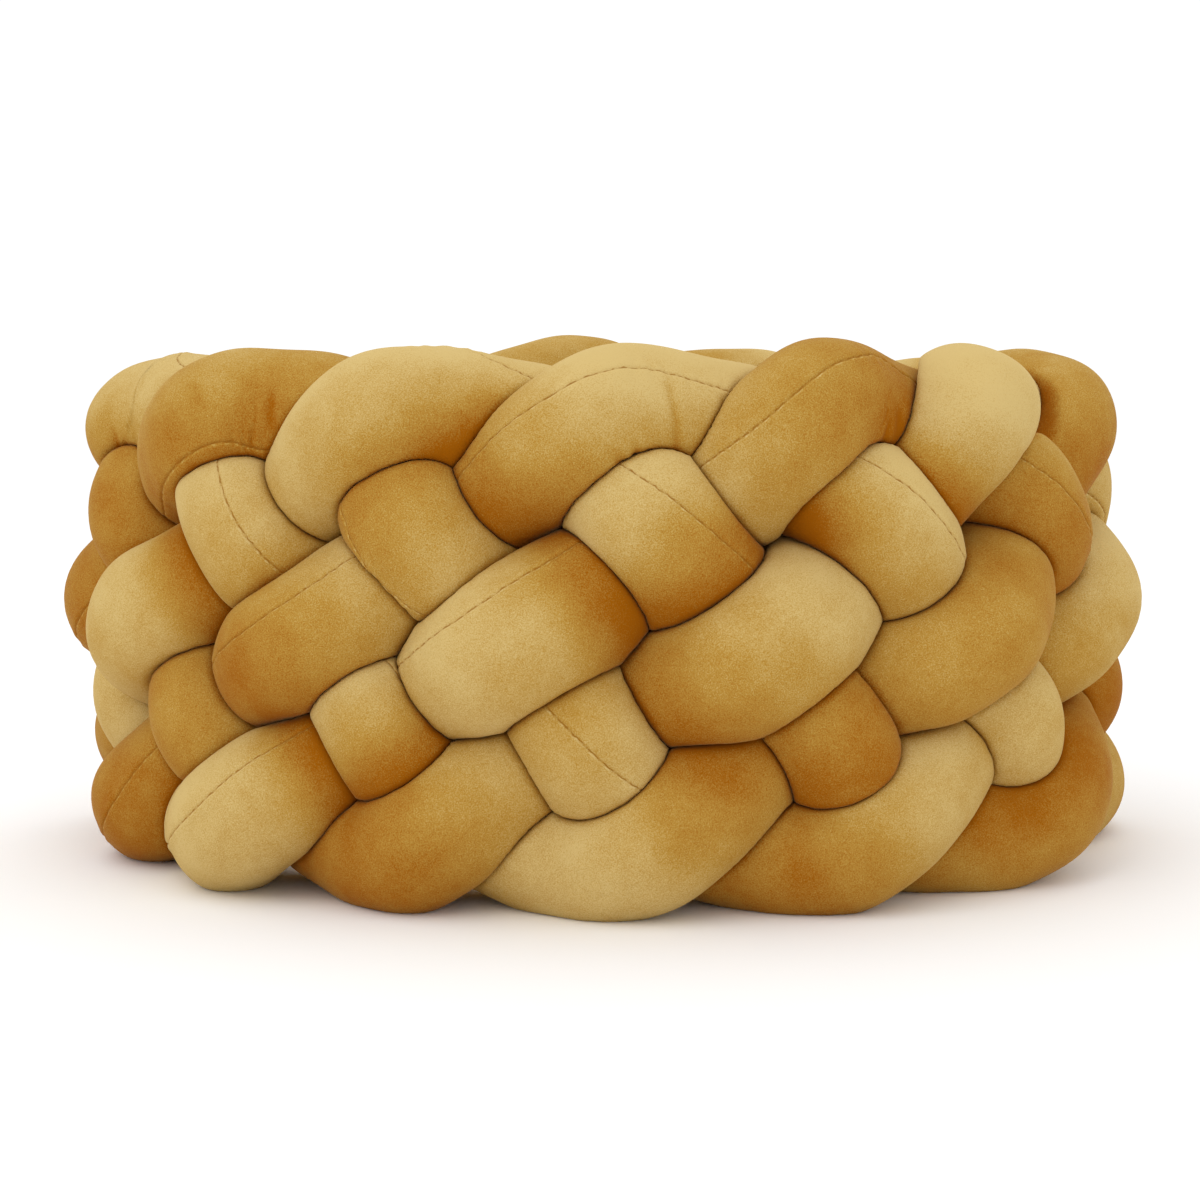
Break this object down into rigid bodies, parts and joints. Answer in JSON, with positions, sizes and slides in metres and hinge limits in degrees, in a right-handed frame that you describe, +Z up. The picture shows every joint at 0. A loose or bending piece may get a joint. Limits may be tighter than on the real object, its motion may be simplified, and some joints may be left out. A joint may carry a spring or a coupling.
{
  "type": "crib bumper",
  "caption": "Stuffed velvet tubes plaited flat, over one and under one, into a band that stands on its edge, bent round into an oval ring.",
  "frame": {"origin": "on the floor, in the middle of the ring's bounding box", "axes": "+X to the right along the ring's long side, +Y away from the flat front, +Z up"},
  "size_m": [0.6728, 0.484, 0.3147],
  "materials": {
    "velvet": "mustard gold short-pile velvet with a soft sheen"
  },
  "bodies": {
    "root": {"strand_1": "velvet", "strand_2": "velvet", "strand_3": "velvet", "strand_4": "velvet", "strand_5": "velvet", "strand_6": "velvet"}
  },
  "joints": []
}
